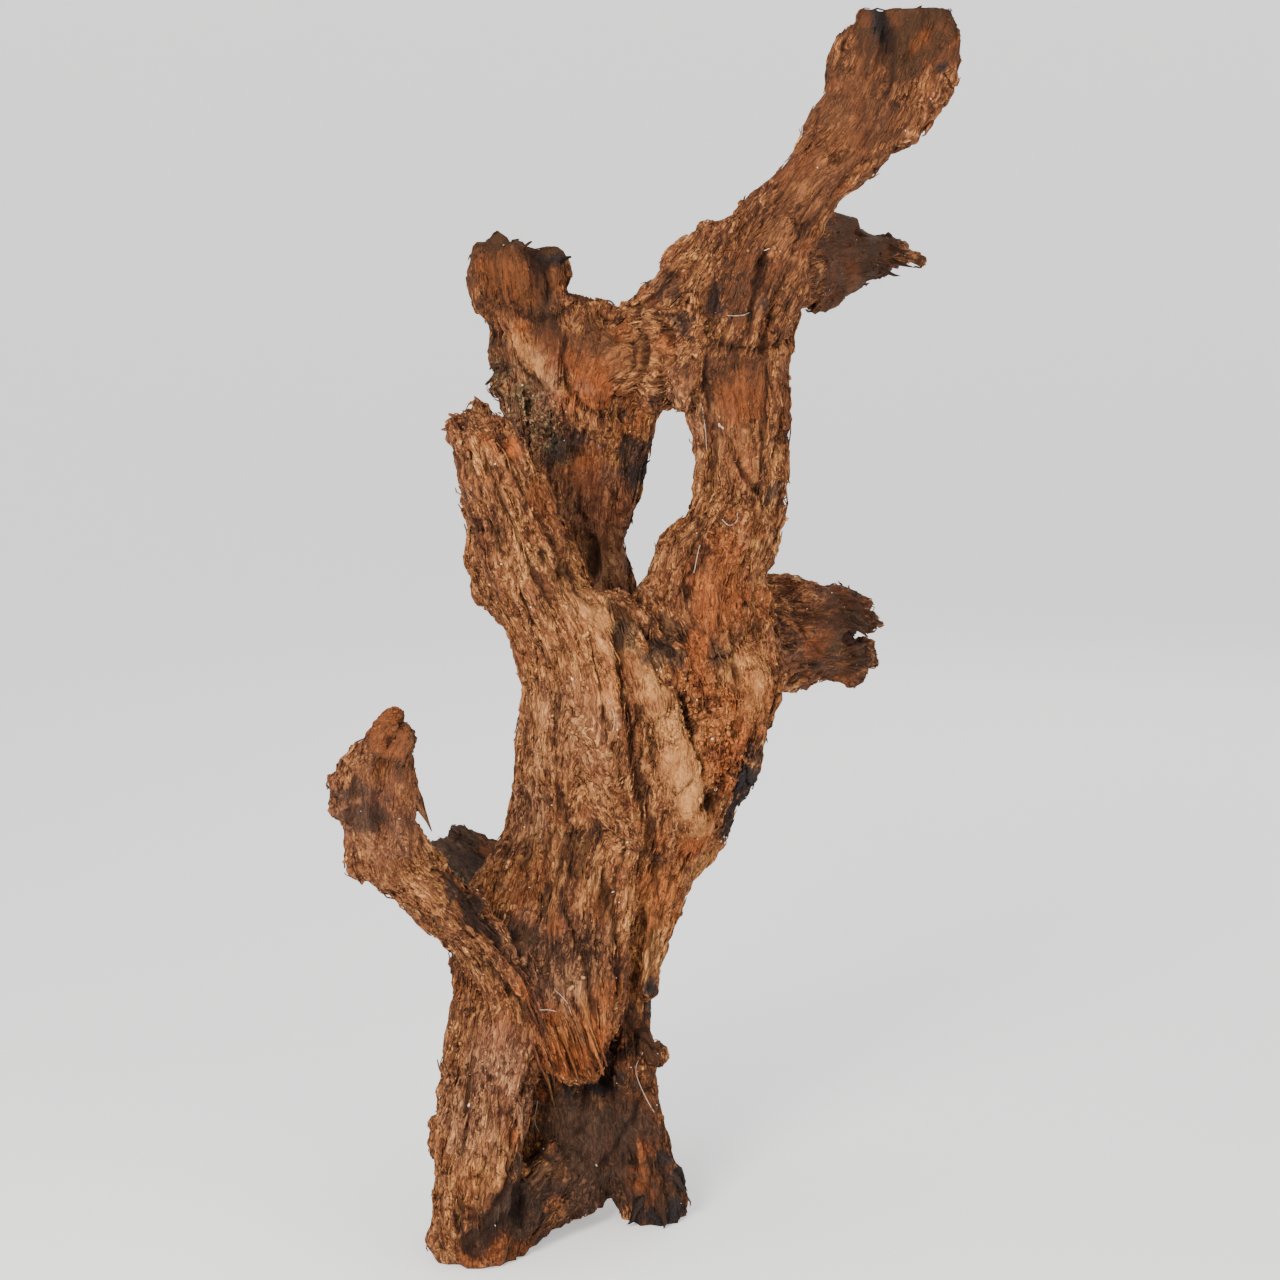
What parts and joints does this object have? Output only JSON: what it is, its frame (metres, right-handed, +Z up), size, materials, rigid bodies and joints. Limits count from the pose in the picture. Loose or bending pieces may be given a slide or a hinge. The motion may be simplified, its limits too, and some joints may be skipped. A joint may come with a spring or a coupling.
{
  "type": "standing driftwood branch",
  "caption": "Upright piece of weathered driftwood: flared root feet, a twisted grooved trunk with a loop window, a cupped side arm and a tall slanting flat-topped branch.",
  "frame": {"origin": "centre of the bounding box seen from above, at the height of the surface the feet stand on", "axes": "+Z up along the standing height; the side seen in the picture faces -Y; +X to its right, the side the tall branch leans to"},
  "size_m": [0.44, 0.457, 0.889],
  "materials": {
    "wood": "matte"
  },
  "bodies": {
    "root": {"driftwood": "wood"}
  },
  "joints": []
}
